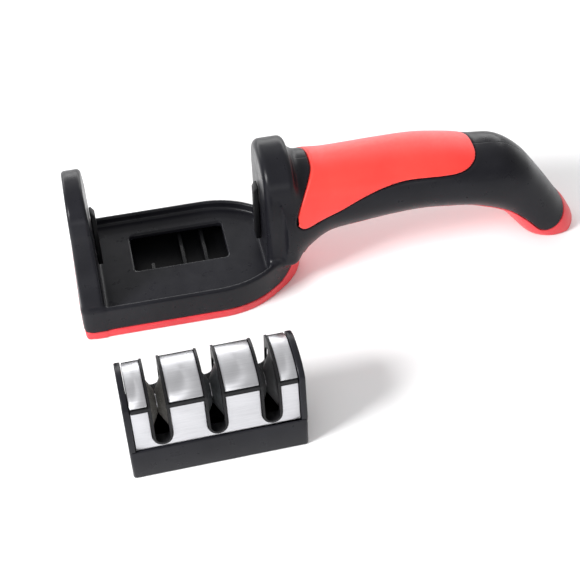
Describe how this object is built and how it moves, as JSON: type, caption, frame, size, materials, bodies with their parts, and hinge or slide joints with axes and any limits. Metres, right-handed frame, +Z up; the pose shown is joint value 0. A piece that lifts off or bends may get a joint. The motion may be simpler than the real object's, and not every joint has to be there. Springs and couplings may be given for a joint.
{
  "type": "edge tuning tool",
  "caption": "Hand-held pull-through edge sharpener with a soft-grip handle, a cradle between two ears, and a removable slotted sharpening cartridge beside it.",
  "frame": {"origin": "on the table, under the middle of the cradle between the two ears", "axes": "+X along the tool from its blunt end to its tail, +Y away from the cartridge, +Z up"},
  "size_m": [0.2181, 0.1313, 0.0635],
  "materials": {
    "black_plastic": "satin moulded black plastic",
    "deep_black": "smooth black plastic",
    "red_plastic": "satin red plastic",
    "red_rubber": "soft-touch coral red grip",
    "steel": "brushed stainless sheet",
    "screw_steel": "plain turned steel",
    "coarse_abrasive": "diamond grit on steel",
    "medium_abrasive": "dark carbide grit",
    "fine_abrasive": "fine dark ceramic"
  },
  "bodies": {
    "handle_base": {"upper_shell": "black_plastic", "lower_shell": "red_plastic", "grip_inlay": "red_rubber", "base_pan": "deep_black", "guide_rail_left": "deep_black", "guide_rail_right": "deep_black", "base_screw_1": "screw_steel", "base_screw_2": "screw_steel", "base_screw_3": "screw_steel", "base_screw_4": "screw_steel", "handle_screw_1": "screw_steel", "handle_screw_2": "screw_steel"},
    "cartridge": {"cartridge_tray": "black_plastic", "cartridge_frame": "deep_black", "end_cheek_left": "black_plastic", "end_cheek_right": "black_plastic", "curved_panel_1": "steel", "curved_panel_2": "steel", "curved_panel_3": "steel", "curved_panel_4": "steel", "front_plate": "steel", "back_plate": "steel", "wheel_axle": "screw_steel"},
    "coarse_wheels": {"coarse_wheel_left": "coarse_abrasive", "coarse_wheel_right": "coarse_abrasive", "coarse_wheel_sleeve": "screw_steel"},
    "medium_wheels": {"medium_wheel_left": "medium_abrasive", "medium_wheel_right": "medium_abrasive", "medium_wheel_sleeve": "screw_steel"},
    "fine_wheels": {"fine_wheel_left": "fine_abrasive", "fine_wheel_right": "fine_abrasive", "fine_wheel_sleeve": "screw_steel"}
  },
  "joints": [
    {"name": "cartridge_carry", "type": "slide", "parent": "handle_base", "child": "cartridge", "axis": [0.0073, 0.7967, 0.6044], "range_m": [0, 0.1092]},
    {"name": "coarse_spin", "type": "hinge", "parent": "cartridge", "child": "coarse_wheels", "pos_m": [-0.0215, -0.08743, 0.024], "axis": [0.9998, 0.0209, 0], "continuous": true},
    {"name": "medium_spin", "type": "hinge", "parent": "cartridge", "child": "medium_wheels", "pos_m": [-0.0008, -0.087, 0.024], "axis": [0.9998, 0.0209, 0], "continuous": true},
    {"name": "fine_spin", "type": "hinge", "parent": "cartridge", "child": "fine_wheels", "pos_m": [0.01989, -0.08657, 0.024], "axis": [0.9998, 0.0209, 0], "continuous": true}
  ]
}
